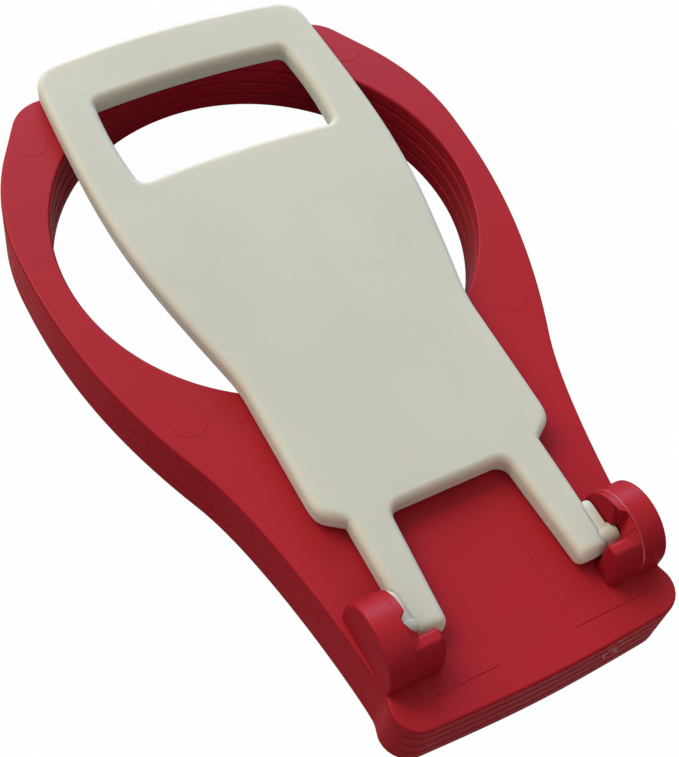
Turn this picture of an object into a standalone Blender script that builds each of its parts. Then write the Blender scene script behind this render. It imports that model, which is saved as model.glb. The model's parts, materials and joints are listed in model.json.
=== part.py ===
"""A folding carrier for four takeaway cups.

Four ring plates lie on one another and turn on one pivot. Fanned out, they
stand as a cross with a cup hole at the end of each arm. The handle is a flat
moulding with a forked foot. Its two trunnion pins turn in clips on the top
plate, so it folds down over the rings or stands upright over the pivot.

The origin is the middle of the folded carrier, on the surface it rests on.
Y runs along the plates towards the rings, and Z is up.
"""

import math

import bmesh
import bpy
from mathutils import Matrix, Vector
from mathutils.geometry import interpolate_bezier

MM = 0.001

# Ring plates: the outline in plan is the same for all four
CUP_HOLE_RADIUS = 42.0 * MM
SIDE_RIM = 6.3 * MM
FAR_RIM = 4.2 * MM
FAR_ARCH = 1.6 * MM
FAR_HALF_WIDTH = 34.4 * MM
FAR_CORNER_RADIUS = 8.5 * MM
RING_LEAD = 8.3 * MM
SHOULDER_TURN = math.radians(32)
PIVOT_REACH = 88.7 * MM
FRONT_REACH = 16.5 * MM
WAIST_HALF_WIDTH = 27.4 * MM
FRONT_CORNER_RADIUS = 5.2 * MM
FRONT_FLARE = 0.7 * MM
FRONT_BOW = 0.8 * MM
PLATE_THICKNESS = 3.2 * MM
PLATE_EDGE = 0.6 * MM

# Where a side turns from hollow to convex, and how its curves leave and arrive
WAIST_REACH_SHARE = 0.42
TURN_REACH_SHARE = 0.472
TURN_WIDTH_SHARE = 0.45
TURN_ANGLE = math.radians(23.5)
WAIST_CURVE_SHARE = 0.10
TURN_IN_CURVE_SHARE = 0.31
TURN_OUT_CURVE_SHARE = 0.51
RING_CURVE_SHARE = 0.20

# Room that moving faces leave between them
RUNNING_GAP = 0.3 * MM

# Pivot: a hollow spigot under the top plate, and a cap that snaps into it
SPIGOT_RADIUS = 8.0 * MM
SPIGOT_WALL = 2.4 * MM
SPIGOT_LIP = 0.7 * MM
SPIGOT_LIP_HEIGHT = 1.6 * MM
CAP_LEDGE = 3.0 * MM
CAP_THICKNESS = 1.4 * MM
CAP_EDGE = 0.25 * MM
PLUG_WALL = 1.5 * MM
PLUG_BARB_HEIGHT = 2.2 * MM
PLUG_SLOT_WIDTH = 1.2 * MM

# Stops: a peg under each plate runs in an arc groove of the plate below
STOP_LAND = 1.0 * MM
STOP_PEG_RADIUS = 1.4 * MM
STOP_PEG_REACH = 1.0 * MM
STOP_START = math.radians(45)
FAN_STEP = math.radians(90)

# Handle: a flat moulding, measured from the hinge axis
HANDLE_THICKNESS = 4.45 * MM
HANDLE_LIFT = 0.75 * MM
HANDLE_EDGE = 0.95 * MM
HANDLE_REACH = 138.5 * MM
HANDLE_ARCH = 1.6 * MM
HANDLE_HALF_WIDTH = 31.0 * MM
HANDLE_FAR_HALF_WIDTH = 30.0 * MM
HANDLE_CORNER = 5.2 * MM
NECK_HALF_WIDTH = 23.9 * MM
NECK_BEND = 3.0 * MM
NECK_FLARE = math.radians(12)
NECK_REACH_SHARE = 0.383
NECK_CURVE_SHARE = 0.45
WIDEST_REACH_SHARE = 0.75
WIDEST_CURVE_SHARE = 0.35

# Finger slot in the handle, with the grip bar beyond it and a rail on each side
GRIP_BAR = 13.8 * MM
GRIP_RAIL = 9.6 * MM
SLOT_WIDTH = 22.9 * MM
SLOT_ARCH = 0.9 * MM
SLOT_SIDE_BOW = 0.5 * MM
SLOT_CORNER = 1.8 * MM

# Fork at the handle's foot
FORK_ROOT = 20.2 * MM
FORK_CORNER = 2.5 * MM
ARM_OUTER = 19.5 * MM
ARM_TIP_WIDTH = 6.2 * MM
ARM_ROOT_WIDTH = 7.6 * MM
ARM_END_SWELL = 0.3 * MM
TIP_INNER_LAND = 0.75 * MM
TIP_OUTER_LAND = 0.25 * MM
SHOULDER_RISE = 0.7 * MM
SHOULDER_HEIGHT = 6.3 * MM

# Trunnions: a flat pad on the side of each arm, and the pin that stands out of it
PAD_STEP = 0.33 * MM
PAD_LENGTH = 7.3 * MM
PAD_PROUD = 1.3 * MM
PIN_RADIUS = 2.1 * MM
PIN_LENGTH = 2.6 * MM
PIN_EDGE = 0.25 * MM

# Clips on the top plate that hold the pins
CLIP_RADIUS = 7.8 * MM
CLIP_END_WALL = 4.9 * MM
CLIP_EDGE = 0.45 * MM
CLIP_SEAM_STEP = 0.15 * MM
PIN_BORE_GAP = 0.4 * MM
NOSE_LEAD = 0.4 * MM
NOSE_ROUND = 0.9 * MM
NOSE_CUT = 1.9 * MM
JAW_GAP = 0.5 * MM
JAW_RISE = 5.6 * MM
JAW_CREST = 0.9 * MM
JAW_COVER = 2.8 * MM

# How far a cutter runs past a face, and a boss into the wall that carries it
OVERRUN = 1.0 * MM
ROOT_DEPTH = 1.2 * MM

# Facets
CURVE_STEPS = 10
CORNER_STEPS = 5
HOLE_FACETS = 72
ROUND_FACETS = 36
SMALL_FACETS = 20
PLATE_EDGE_STEPS = 1
HANDLE_EDGE_STEPS = 2
SMOOTH_ANGLE = math.radians(32)
CIRCLE_CURVE_SHARE = 0.552

# Sizes and places that follow; plate and handle outlines are measured from the pivot
RING_RADIUS = CUP_HOLE_RADIUS + SIDE_RIM
FAR_REACH = PIVOT_REACH + CUP_HOLE_RADIUS + FAR_RIM
RING_REACH = PIVOT_REACH + RING_LEAD
PIVOT_Y = (FRONT_REACH - max(FAR_REACH, HANDLE_REACH)) / 2
PLATE_PITCH = PLATE_THICKNESS + RUNNING_GAP
PLATE_NAMES = ("bottom_ring_plate", "third_ring_plate", "second_ring_plate", "top_ring_plate")
TOP_PLATE_Z = PLATE_PITCH * (len(PLATE_NAMES) - 1)
HINGE_HEIGHT = HANDLE_LIFT + HANDLE_THICKNESS / 2
HINGE_Z = TOP_PLATE_Z + PLATE_THICKNESS + HINGE_HEIGHT

CAP_RADIUS = SPIGOT_RADIUS + CAP_LEDGE
CAP_TOP = RUNNING_GAP + CAP_THICKNESS
SPIGOT_FOOT = CAP_TOP + RUNNING_GAP
SPIGOT_BORE = SPIGOT_RADIUS - SPIGOT_WALL
SPIGOT_THROAT = SPIGOT_BORE - SPIGOT_LIP
PLUG_RADIUS = SPIGOT_THROAT - RUNNING_GAP
BARB_RADIUS = SPIGOT_BORE - RUNNING_GAP
BARB_FOOT = SPIGOT_FOOT + SPIGOT_LIP_HEIGHT + SPIGOT_LIP + RUNNING_GAP
GROOVE_HALF_WIDTH = STOP_PEG_RADIUS + RUNNING_GAP
GROOVE_DEPTH = STOP_PEG_REACH + RUNNING_GAP
STOP_RADIUS = CAP_RADIUS + RUNNING_GAP + STOP_LAND + GROOVE_HALF_WIDTH

SLOT_REACH = HANDLE_REACH - GRIP_BAR - SLOT_WIDTH
SLOT_HALF_LENGTH = HANDLE_HALF_WIDTH - GRIP_RAIL
ARM_END_RADIUS = HANDLE_THICKNESS / 2 + ARM_END_SWELL
PAD_OUTER = ARM_OUTER + PAD_PROUD
PAD_HALF_HEIGHT = HANDLE_THICKNESS / 2 - PAD_STEP
PIN_END = ARM_OUTER + PIN_LENGTH
PIN_BORE = PIN_RADIUS + PIN_BORE_GAP
CLIP_SEAM = PIN_END + RUNNING_GAP
CLIP_OUTER = CLIP_SEAM + CLIP_END_WALL
NOSE_INNER = PAD_OUTER + RUNNING_GAP
JAW_INNER = ARM_OUTER - JAW_COVER
JAW_FACE = ARM_END_RADIUS + JAW_GAP
JAW_RADIUS = CLIP_RADIUS - CLIP_SEAM_STEP

RED = (0.42, 0.022, 0.032, 1.0)
CREAM = (0.57, 0.58, 0.49, 1.0)
RED_ROUGHNESS = 0.38
CREAM_ROUGHNESS = 0.45

# Stands a side profile up: its X, Y and Z become the part's Y, Z and X
SIDE_VIEW = Matrix(((0, 0, 1), (1, 0, 0), (0, 1, 0))).to_4x4()
PLAN_VIEW = Matrix.Identity(4)


# Outlines: lists of points that run anticlockwise

def arc(centre, radius, start, end, steps):
    """Points on a circle from one angle to another, with both ends."""
    angles = [start + (end - start) * step / steps for step in range(steps + 1)]
    return [Vector((centre[0] + radius * math.cos(a), centre[1] + radius * math.sin(a))) for a in angles]


def circle(radius, facets, centre=(0, 0)):
    """A whole circle, without its first point again at the end."""
    return arc(centre, radius, 0, math.tau, facets)[:-1]


def curve(start, leave, arrive, end, steps=CURVE_STEPS):
    """A Bezier span; leave and arrive are the ways from its ends to its handles."""
    start, leave, arrive, end = (Vector(point) for point in (start, leave, arrive, end))
    return interpolate_bezier(start, start + leave, end + arrive, end, steps + 1)


def fillet(before, corner, after, radius):
    """The rounded corner between two straight lines."""
    before, corner, after = Vector(before), Vector(corner), Vector(after)
    to_before = (before - corner).normalized()
    to_after = (after - corner).normalized()
    half_angle = to_before.angle(to_after) / 2
    reach = radius / math.tan(half_angle)
    centre = corner + (to_before + to_after).normalized() * radius / math.sin(half_angle)
    first = corner + to_before * reach - centre
    last = corner + to_after * reach - centre
    start = math.atan2(first.y, first.x)
    return arc(centre, radius, start, start - first.angle_signed(last), CORNER_STEPS)


def bowed(start, end, bow):
    """A line that bulges to its right, away from what it bounds."""
    start, end = Vector(start), Vector(end)
    outward = Vector((end.y - start.y, start.x - end.x)).normalized()
    shares = [step / CORNER_STEPS for step in range(CORNER_STEPS + 1)]
    return [start.lerp(end, share) + outward * bow * (1 - (2 * share - 1) ** 2) for share in shares]


def closed(points):
    """The points without any that repeats the one before it."""
    return [point for index, point in enumerate(points) if (point - points[index - 1]).length > RUNNING_GAP / 10]


def mirrored(right_half):
    """A right half that runs from front to back, closed by its mirror image."""
    return closed(right_half + [Vector((-point.x, point.y)) for point in reversed(right_half)])


def grown(outline, distance):
    """The outline moved outwards by a distance, square to itself."""
    moved = []
    for index, point in enumerate(outline):
        along = (point - outline[index - 1]).normalized()
        onward = (outline[(index + 1) % len(outline)] - point).normalized()
        mean = (along + onward).normalized()
        moved.append(point + Vector((mean.y, -mean.x)) * distance / mean.dot(along))
    return moved


# Levels: a height, and how far the outline is grown there

def straight(low, high):
    """A plain wall."""
    return [(low, 0), (high, 0)]


def rounded(low, high, low_edge, high_edge, steps):
    """A wall that draws in round its lower and upper edges."""
    turns = [math.pi / 2 * step / steps for step in range(steps + 1)]
    lower = [(low + low_edge * (1 - math.cos(turn)), low_edge * (math.sin(turn) - 1)) for turn in turns]
    upper = [(high - high_edge * (1 - math.cos(turn)), high_edge * (math.sin(turn) - 1)) for turn in turns]
    levels = (lower if low_edge else lower[:1]) + (upper[::-1] if high_edge else upper[:1])
    return levels


def flared(low, high, edge, steps):
    """A cutter's wall that leaves a through hole with both its edges rounded."""
    walls = [(height, -growth) for height, growth in rounded(low, high, edge, edge, steps)]
    return [(low - OVERRUN, edge)] + walls + [(high + OVERRUN, edge)]


def sideways(side, inner, outer, inner_edge=0, outer_edge=0):
    """Levels across the part, from an inner to an outer distance on one side of its middle."""
    if side > 0:
        return rounded(inner, outer, inner_edge, outer_edge, HANDLE_EDGE_STEPS)
    return rounded(-outer, -inner, outer_edge, inner_edge, HANDLE_EDGE_STEPS)


# Objects

def add_object(name, bm):
    """A mesh object from a bmesh, faces outwards and round walls smooth."""
    bmesh.ops.recalc_face_normals(bm, faces=bm.faces)
    mesh = bpy.data.meshes.new(name)
    bm.to_mesh(mesh)
    bm.free()
    mesh.shade_smooth()
    mesh.set_sharp_from_angle(angle=SMOOTH_ANGLE)
    item = bpy.data.objects.new(name, mesh)
    bpy.context.scene.collection.objects.link(item)
    return item


def add_stack(name, outline, levels, view=PLAN_VIEW):
    """A solid with the outline at each level, and flat ends."""
    bm = bmesh.new()
    rings = [[bm.verts.new((*point, height)) for point in grown(outline, growth)] for height, growth in levels]
    for lower, upper in zip(rings, rings[1:]):
        for index in range(len(outline)):
            bm.faces.new((lower[index - 1], lower[index], upper[index], upper[index - 1]))
    bm.faces.new(rings[0][::-1])
    bm.faces.new(rings[-1])
    bmesh.ops.transform(bm, matrix=view, verts=bm.verts)
    return add_object(name, bm)


def add_turned(name, profile):
    """A solid turned about Z from a closed profile of radius and height."""
    bm = bmesh.new()
    verts = [bm.verts.new((radius, 0, height)) for radius, height in profile]
    edges = [bm.edges.new((verts[index - 1], vert)) for index, vert in enumerate(verts)]
    bmesh.ops.spin(bm, geom=verts + edges, axis=(0, 0, 1), cent=(0, 0, 0), angle=math.tau,
                   steps=ROUND_FACETS, use_merge=True)
    bmesh.ops.remove_doubles(bm, verts=bm.verts, dist=RUNNING_GAP / 100)
    return add_object(name, bm)


def fit(piece, tool, operation):
    """Joins a hidden tool to a piece, or cuts it out of the piece."""
    tool.parent = piece
    tool.hide_render = True
    tool.display_type = 'WIRE'
    boolean = piece.modifiers.new(tool.name, 'BOOLEAN')
    boolean.operation = operation
    boolean.solver = 'EXACT'
    boolean.object = tool


def join(piece, tool):
    fit(piece, tool, 'UNION')


def cut(piece, tool):
    fit(piece, tool, 'DIFFERENCE')


def add_material(piece, colour, roughness):
    """Each piece has its own plastic."""
    material = bpy.data.materials.new(piece.name)
    material.use_nodes = True
    shader = material.node_tree.nodes["Principled BSDF"]
    shader.inputs["Base Color"].default_value = colour
    shader.inputs["Roughness"].default_value = roughness
    shader.inputs["Metallic"].default_value = 0
    material.diffuse_color = colour
    piece.data.materials.append(material)


# Ring plates

def plate_outline():
    """A ring with a blunt far end, a waist at the pivot, and a blunt front."""
    waist = Vector((WAIST_HALF_WIDTH, -FRONT_REACH * WAIST_REACH_SHARE))
    turn_x = WAIST_HALF_WIDTH + (RING_RADIUS - WAIST_HALF_WIDTH) * TURN_WIDTH_SHARE
    turn = Vector((turn_x, PIVOT_REACH * TURN_REACH_SHARE))
    ring = Vector((RING_RADIUS, RING_REACH))
    front = Vector((0, -FRONT_REACH))
    corner_end = Vector((WAIST_HALF_WIDTH + FRONT_FLARE, FRONT_BOW + FRONT_CORNER_RADIUS - FRONT_REACH))
    corner_start = corner_end - Vector((FRONT_CORNER_RADIUS, FRONT_CORNER_RADIUS))
    corner_curve = FRONT_CORNER_RADIUS * CIRCLE_CURVE_SHARE
    slope = Vector((math.sin(TURN_ANGLE), math.cos(TURN_ANGLE)))
    hollow = turn.y - waist.y
    swell = ring.y - turn.y
    front_third = Vector((corner_start.x / 3, 0))
    flare_third = Vector((0, (waist.y - corner_end.y) / 3))
    half = curve(front, front_third, -front_third - Vector((0, FRONT_BOW / 2)), corner_start, CORNER_STEPS)
    half += curve(corner_start, (corner_curve, 0), (0, -corner_curve), corner_end, CORNER_STEPS)
    half += curve(corner_end, flare_third, -flare_third, waist, CORNER_STEPS)
    half += curve(waist, (0, hollow * WAIST_CURVE_SHARE), -slope * hollow * TURN_IN_CURVE_SHARE, turn)
    half += curve(turn, slope * swell * TURN_OUT_CURVE_SHARE, (0, -swell * RING_CURVE_SHARE), ring)
    shoulder = arc((0, RING_REACH), RING_RADIUS, 0, SHOULDER_TURN, CURVE_STEPS)
    apex = Vector((0, FAR_REACH))
    far_corner = fillet(shoulder[-1], (FAR_HALF_WIDTH, FAR_REACH - FAR_ARCH), apex, FAR_CORNER_RADIUS)
    arch = apex - far_corner[-1]
    half += shoulder + far_corner
    half += curve(far_corner[-1], arch / 3, (-arch.x / 3, 0), apex, CORNER_STEPS)
    return mirrored(half)


def groove_outline():
    """An arc slot about the pivot, with round ends, as long as one step of the fan."""
    end = STOP_START + FAN_STEP
    start_cap = Vector((math.cos(STOP_START), math.sin(STOP_START))) * STOP_RADIUS
    end_cap = Vector((math.cos(end), math.sin(end))) * STOP_RADIUS
    outline = arc((0, 0), STOP_RADIUS + GROOVE_HALF_WIDTH, STOP_START, end, CURVE_STEPS)
    outline += arc(end_cap, GROOVE_HALF_WIDTH, end, end + math.pi, CORNER_STEPS)
    outline += arc((0, 0), STOP_RADIUS - GROOVE_HALF_WIDTH, end, STOP_START, CURVE_STEPS)
    outline += arc(start_cap, GROOVE_HALF_WIDTH, STOP_START - math.pi, STOP_START, CORNER_STEPS)
    return closed(outline)


def add_plate(name, height):
    """A ring plate with its cup hole."""
    levels = rounded(0, PLATE_THICKNESS, PLATE_EDGE, PLATE_EDGE, PLATE_EDGE_STEPS)
    plate = add_stack(name, plate_outline(), levels)
    plate.location = (0, PIVOT_Y, height)
    hole = circle(CUP_HOLE_RADIUS, HOLE_FACETS, (0, PIVOT_REACH))
    cut(plate, add_stack(name + "_cup_hole", hole, flared(0, PLATE_THICKNESS, PLATE_EDGE, PLATE_EDGE_STEPS)))
    return plate


def add_bearing(plate):
    """The bore that turns on the spigot, and the groove for the peg of the plate above."""
    bore = circle(SPIGOT_RADIUS + RUNNING_GAP, ROUND_FACETS)
    cut(plate, add_stack(plate.name + "_bore", bore, straight(-OVERRUN, PLATE_THICKNESS + OVERRUN)))
    groove = straight(PLATE_THICKNESS - GROOVE_DEPTH, PLATE_THICKNESS + OVERRUN)
    cut(plate, add_stack(plate.name + "_groove", groove_outline(), groove))


def add_stop_peg(plate):
    """The peg that stands down into the groove below."""
    centre = (STOP_RADIUS * math.cos(STOP_START), STOP_RADIUS * math.sin(STOP_START))
    levels = straight(-RUNNING_GAP - STOP_PEG_REACH, ROOT_DEPTH)
    join(plate, add_stack(plate.name + "_peg", circle(STOP_PEG_RADIUS, SMALL_FACETS, centre), levels))


def add_spigot(plate):
    """The hollow post under the top plate, with a lip inside its foot."""
    foot = SPIGOT_FOOT - TOP_PLATE_Z
    lip_top = foot + SPIGOT_LIP_HEIGHT
    profile = [(SPIGOT_BORE, ROOT_DEPTH), (SPIGOT_RADIUS, ROOT_DEPTH), (SPIGOT_RADIUS, foot),
               (SPIGOT_THROAT, foot), (SPIGOT_THROAT, lip_top), (SPIGOT_BORE, lip_top + SPIGOT_LIP)]
    join(plate, add_turned(plate.name + "_spigot", profile))


def add_cap_seat(plate):
    """The counterbore under the bottom plate that takes the cap's flange."""
    seat = circle(CAP_RADIUS + RUNNING_GAP, ROUND_FACETS)
    cut(plate, add_stack(plate.name + "_cap_seat", seat, straight(-OVERRUN, SPIGOT_FOOT)))


# Clips for the handle's pins, drawn from the side with the hinge axis at zero

def clip_wall_outline():
    """The end wall: upright sides, and a round top about the hinge axis."""
    foot = -HINGE_HEIGHT - ROOT_DEPTH
    top = arc((0, 0), CLIP_RADIUS, 0, math.pi, ROUND_FACETS // 2)
    return [Vector((CLIP_RADIUS, foot))] + top + [Vector((-CLIP_RADIUS, foot))]


def rear_jaw_outline():
    """The jaw behind and over the pin, with a rounded nose just past the axis."""
    foot = -HINGE_HEIGHT - ROOT_DEPTH / 2
    nose_top = math.acos(-NOSE_LEAD / JAW_RADIUS)
    nose_y = NOSE_ROUND - NOSE_LEAD
    nose_z = math.sqrt((PIN_BORE + NOSE_ROUND) ** 2 - nose_y ** 2)
    nose_angle = math.atan2(nose_z, nose_y)
    outline = [Vector((0, foot)), Vector((JAW_RADIUS, foot))]
    outline += arc((0, 0), JAW_RADIUS, 0, nose_top, ROUND_FACETS // 4)
    outline += arc((nose_y, nose_z), NOSE_ROUND, math.pi, math.pi + nose_angle, CORNER_STEPS)
    outline += arc((0, 0), PIN_BORE, nose_angle, -math.pi / 2, SMALL_FACETS // 2)
    return closed(outline)


def nose_cut_outline(side):
    """Takes the rear jaw's inner front corner off on the slant, from the end wall's rim; drawn in plan."""
    rim = Vector((CLIP_SEAM, -NOSE_LEAD))
    inner = Vector((NOSE_INNER, NOSE_CUT - NOSE_LEAD))
    past = (inner - rim).normalized() * OVERRUN
    start = rim - past
    end = inner + past
    return [Vector((side * start.x, start.y)), Vector((side * end.x, end.y)), Vector((side * end.x, start.y))]


def front_jaw_outline():
    """The jaw ahead of the pin, upright behind and with a rounded crest; it stops the handle past upright."""
    foot = -HINGE_HEIGHT - ROOT_DEPTH / 2
    crest_height = JAW_RISE - JAW_CREST
    crest_reach = math.sqrt((JAW_RADIUS - JAW_CREST) ** 2 - crest_height ** 2)
    lean = math.atan2(crest_height, -crest_reach)
    outline = [Vector((-JAW_FACE, foot))]
    outline += fillet((-JAW_FACE, foot), (-JAW_FACE, JAW_RISE), (-crest_reach, JAW_RISE), JAW_CREST)
    outline += arc((-crest_reach, crest_height), JAW_CREST, math.pi / 2, lean, CORNER_STEPS)
    outline += arc((0, 0), JAW_RADIUS, lean, math.pi, CORNER_STEPS)
    return closed(outline + [Vector((-JAW_RADIUS, foot))])


def add_clip(plate, side, name):
    """One clip: an end wall, and two jaws that stand in from it."""
    axis_level = PLATE_THICKNESS + HINGE_HEIGHT
    place = Matrix.Translation((0, 0, axis_level)) @ SIDE_VIEW
    rear = sideways(side, NOSE_INNER, CLIP_SEAM + ROOT_DEPTH, CLIP_EDGE)
    join(plate, add_stack(name + "_rear_jaw", rear_jaw_outline(), rear, place))
    nose_cut = straight(axis_level, axis_level + CLIP_RADIUS + OVERRUN)
    cut(plate, add_stack(name + "_nose_cut", nose_cut_outline(side), nose_cut))
    wall = sideways(side, CLIP_SEAM, CLIP_OUTER, 0, CLIP_EDGE)
    join(plate, add_stack(name + "_end_wall", clip_wall_outline(), wall, place))
    front = sideways(side, JAW_INNER, CLIP_SEAM + ROOT_DEPTH, CLIP_EDGE)
    join(plate, add_stack(name + "_front_jaw", front_jaw_outline(), front, place))


# Pivot cap

def add_pivot_cap():
    """A flange under the stack, and a split plug whose barb snaps over the spigot's lip."""
    barb_top = BARB_FOOT + PLUG_BARB_HEIGHT
    plug_bore = PLUG_RADIUS - PLUG_WALL
    profile = [(0, RUNNING_GAP), (CAP_RADIUS - CAP_EDGE, RUNNING_GAP), (CAP_RADIUS, RUNNING_GAP + CAP_EDGE),
               (CAP_RADIUS, CAP_TOP), (PLUG_RADIUS, CAP_TOP), (PLUG_RADIUS, BARB_FOOT),
               (BARB_RADIUS, BARB_FOOT), (PLUG_RADIUS, barb_top), (plug_bore, barb_top),
               (plug_bore, CAP_TOP), (0, CAP_TOP)]
    cap = add_turned("pivot_cap", profile)
    cap.location = (0, PIVOT_Y, 0)
    slot_end = BARB_RADIUS + OVERRUN
    half = PLUG_SLOT_WIDTH / 2
    slot = [Vector((-slot_end, -half)), Vector((slot_end, -half)), Vector((slot_end, half)), Vector((-slot_end, half))]
    for name, corners in (("across", slot), ("along", [Vector((-point.y, point.x)) for point in slot])):
        cut(cap, add_stack("plug_slot_" + name, corners, straight(SPIGOT_FOOT, barb_top + OVERRUN)))
    return cap


# Handle

def handle_outline():
    """A fork at the foot, a straight neck, and a grip that swells and ends in a shallow arch."""
    tip_y = -ARM_END_RADIUS - ARM_END_SWELL
    root = Vector((ARM_OUTER - ARM_ROOT_WIDTH, FORK_ROOT))
    tip_inner = Vector((ARM_OUTER - ARM_TIP_WIDTH, tip_y))
    tip_outer = Vector((ARM_OUTER, tip_y))
    shoulder_inner = Vector((ARM_OUTER, FORK_ROOT + SHOULDER_RISE))
    shoulder = Vector((NECK_HALF_WIDTH, shoulder_inner.y + SHOULDER_HEIGHT))
    neck = Vector((NECK_HALF_WIDTH, HANDLE_REACH * NECK_REACH_SHARE))
    flare = Vector((math.sin(NECK_FLARE), math.cos(NECK_FLARE)))
    bend_start = neck - Vector((0, NECK_BEND))
    bend_end = neck + flare * NECK_BEND
    widest = Vector((HANDLE_HALF_WIDTH, HANDLE_REACH * WIDEST_REACH_SHARE))
    apex = Vector((0, HANDLE_REACH))
    arch_end = Vector((HANDLE_FAR_HALF_WIDTH - HANDLE_CORNER, HANDLE_REACH - HANDLE_ARCH))
    corner_end = Vector((HANDLE_FAR_HALF_WIDTH, arch_end.y - HANDLE_CORNER))
    step = NECK_HALF_WIDTH - ARM_OUTER
    swell = widest.y - bend_end.y
    bulge = widest - corner_end
    arch_slope = Vector((arch_end.x, -2 * HANDLE_ARCH)) / 3
    corner_curve = HANDLE_CORNER * CIRCLE_CURVE_SHARE
    side_slope = Vector((bulge.x, bulge.y / 2)).normalized()
    half = [Vector((0, FORK_ROOT))]
    half += fillet((0, FORK_ROOT), root, tip_inner, FORK_CORNER)
    half += fillet(root, tip_inner, tip_outer, HANDLE_EDGE + TIP_INNER_LAND)
    half += fillet(tip_inner, tip_outer, shoulder_inner, HANDLE_EDGE + TIP_OUTER_LAND)
    half += curve(shoulder_inner, (step * CIRCLE_CURVE_SHARE, step / 2), (0, -step), shoulder, CORNER_STEPS)
    half += curve(bend_start, (0, NECK_BEND / 2), -flare * NECK_BEND / 2, bend_end, CORNER_STEPS)
    half += curve(bend_end, flare * swell * NECK_CURVE_SHARE, (0, -swell * WIDEST_CURVE_SHARE), widest)
    half += curve(widest, (0, -bulge.y / 3), side_slope * corner_curve, corner_end, CORNER_STEPS)
    half += curve(corner_end, -side_slope * corner_curve, arch_slope.normalized() * corner_curve, arch_end,
                  CORNER_STEPS)
    half += curve(arch_end, -arch_slope, (arch_end.x / 3, 0), apex, CORNER_STEPS)
    return mirrored(half)


def slot_outline():
    """The finger slot: arched along the grip, with sides that bow out."""
    near, far = SLOT_REACH, SLOT_REACH + SLOT_WIDTH
    right, left = SLOT_HALF_LENGTH, -SLOT_HALF_LENGTH
    corners = [Vector((left, near)), Vector((right, near)), Vector((right, far)), Vector((left, far))]
    rounds = [fillet(corners[index - 1], corner, corners[(index + 1) % 4], SLOT_CORNER)
              for index, corner in enumerate(corners)]
    bows = (-SLOT_ARCH, SLOT_SIDE_BOW, SLOT_ARCH, SLOT_SIDE_BOW)
    outline = []
    for index, bow in enumerate(bows):
        outline += rounds[index]
        outline += bowed(rounds[index][-1], rounds[(index + 1) % 4][0], bow)
    return closed(outline)


def arm_end_cutter_outline():
    """What is cut from an arm's end, seen from the side, to leave it round about the axis."""
    reach = ARM_END_RADIUS + OVERRUN
    outline = arc((0, 0), ARM_END_RADIUS, math.pi / 2, math.pi * 3 / 2, ROUND_FACETS // 2)
    return outline + [Vector((0, -reach)), Vector((-reach, -reach)), Vector((-reach, reach)), Vector((0, reach))]


def pad_outline():
    """The trunnion pad: a flat bar with round ends, from the axis back along the arm."""
    back = (PAD_LENGTH - PAD_HALF_HEIGHT, 0)
    outline = arc(back, PAD_HALF_HEIGHT, -math.pi / 2, math.pi / 2, SMALL_FACETS // 2)
    return outline + arc((0, 0), PAD_HALF_HEIGHT, math.pi / 2, math.pi * 3 / 2, SMALL_FACETS // 2)


def add_handle():
    """The handle lies flat over the plates, with its hinge axis above the pivot."""
    half = HANDLE_THICKNESS / 2
    levels = rounded(-half, half, HANDLE_EDGE, HANDLE_EDGE, HANDLE_EDGE_STEPS)
    handle = add_stack("handle", handle_outline(), levels)
    handle.location = (0, PIVOT_Y, HINGE_Z)
    slot = flared(-half, half, HANDLE_EDGE, HANDLE_EDGE_STEPS)
    cut(handle, add_stack("handle_finger_slot", slot_outline(), slot))
    for side, name in ((1, "right"), (-1, "left")):
        across = sideways(side, ARM_OUTER - ARM_TIP_WIDTH - OVERRUN, ARM_OUTER + OVERRUN)
        cut(handle, add_stack(name + "_arm_end", arm_end_cutter_outline(), across, SIDE_VIEW))
        pad = sideways(side, ARM_OUTER - ROOT_DEPTH, PAD_OUTER, 0, PIN_EDGE)
        join(handle, add_stack(name + "_pad", pad_outline(), pad, SIDE_VIEW))
        pin = sideways(side, ARM_OUTER - ROOT_DEPTH, PIN_END, 0, PIN_EDGE)
        join(handle, add_stack(name + "_pin", circle(PIN_RADIUS, SMALL_FACETS), pin, SIDE_VIEW))
    return handle


# The whole carrier

for item in list(bpy.data.objects):
    bpy.data.objects.remove(item, do_unlink=True)

plates = [add_plate(name, index * PLATE_PITCH) for index, name in enumerate(PLATE_NAMES)]
for plate in plates[:-1]:
    add_bearing(plate)
for plate in plates[1:]:
    add_stop_peg(plate)
add_cap_seat(plates[0])
add_spigot(plates[-1])
for clip_side, clip_name in ((1, "right_clip"), (-1, "left_clip")):
    add_clip(plates[-1], clip_side, clip_name)
for red_piece in plates + [add_pivot_cap()]:
    add_material(red_piece, RED, RED_ROUGHNESS)
add_material(add_handle(), CREAM, CREAM_ROUGHNESS)
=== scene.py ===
# %% [markdown]
# # A folding carrier for four takeaway cups
# The real object is six plastic mouldings. Four red ring plates lie on one another and turn on a
# pivot, so that they fan out to a cross with a cup hole at the end of each arm. A pale handle with
# a finger slot is clipped to the top plate, and a cap holds the stack together from below.
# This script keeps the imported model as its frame, which fixes every size and every joint, and
# models the visible mouldings again with soft edges, mould marks and a proper plastic finish.

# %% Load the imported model
import json
import math

import bmesh
import bpy
from mathutils import Matrix, Vector
from mathutils.geometry import interpolate_bezier


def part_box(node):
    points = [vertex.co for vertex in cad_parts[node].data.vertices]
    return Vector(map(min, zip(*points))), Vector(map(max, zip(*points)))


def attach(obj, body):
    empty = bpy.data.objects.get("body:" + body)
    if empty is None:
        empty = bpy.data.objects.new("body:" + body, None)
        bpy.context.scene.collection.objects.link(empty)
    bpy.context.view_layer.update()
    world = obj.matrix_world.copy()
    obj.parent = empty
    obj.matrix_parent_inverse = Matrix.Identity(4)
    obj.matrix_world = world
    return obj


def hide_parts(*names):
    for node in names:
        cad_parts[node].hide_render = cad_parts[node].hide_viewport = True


MM = 0.001

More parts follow.
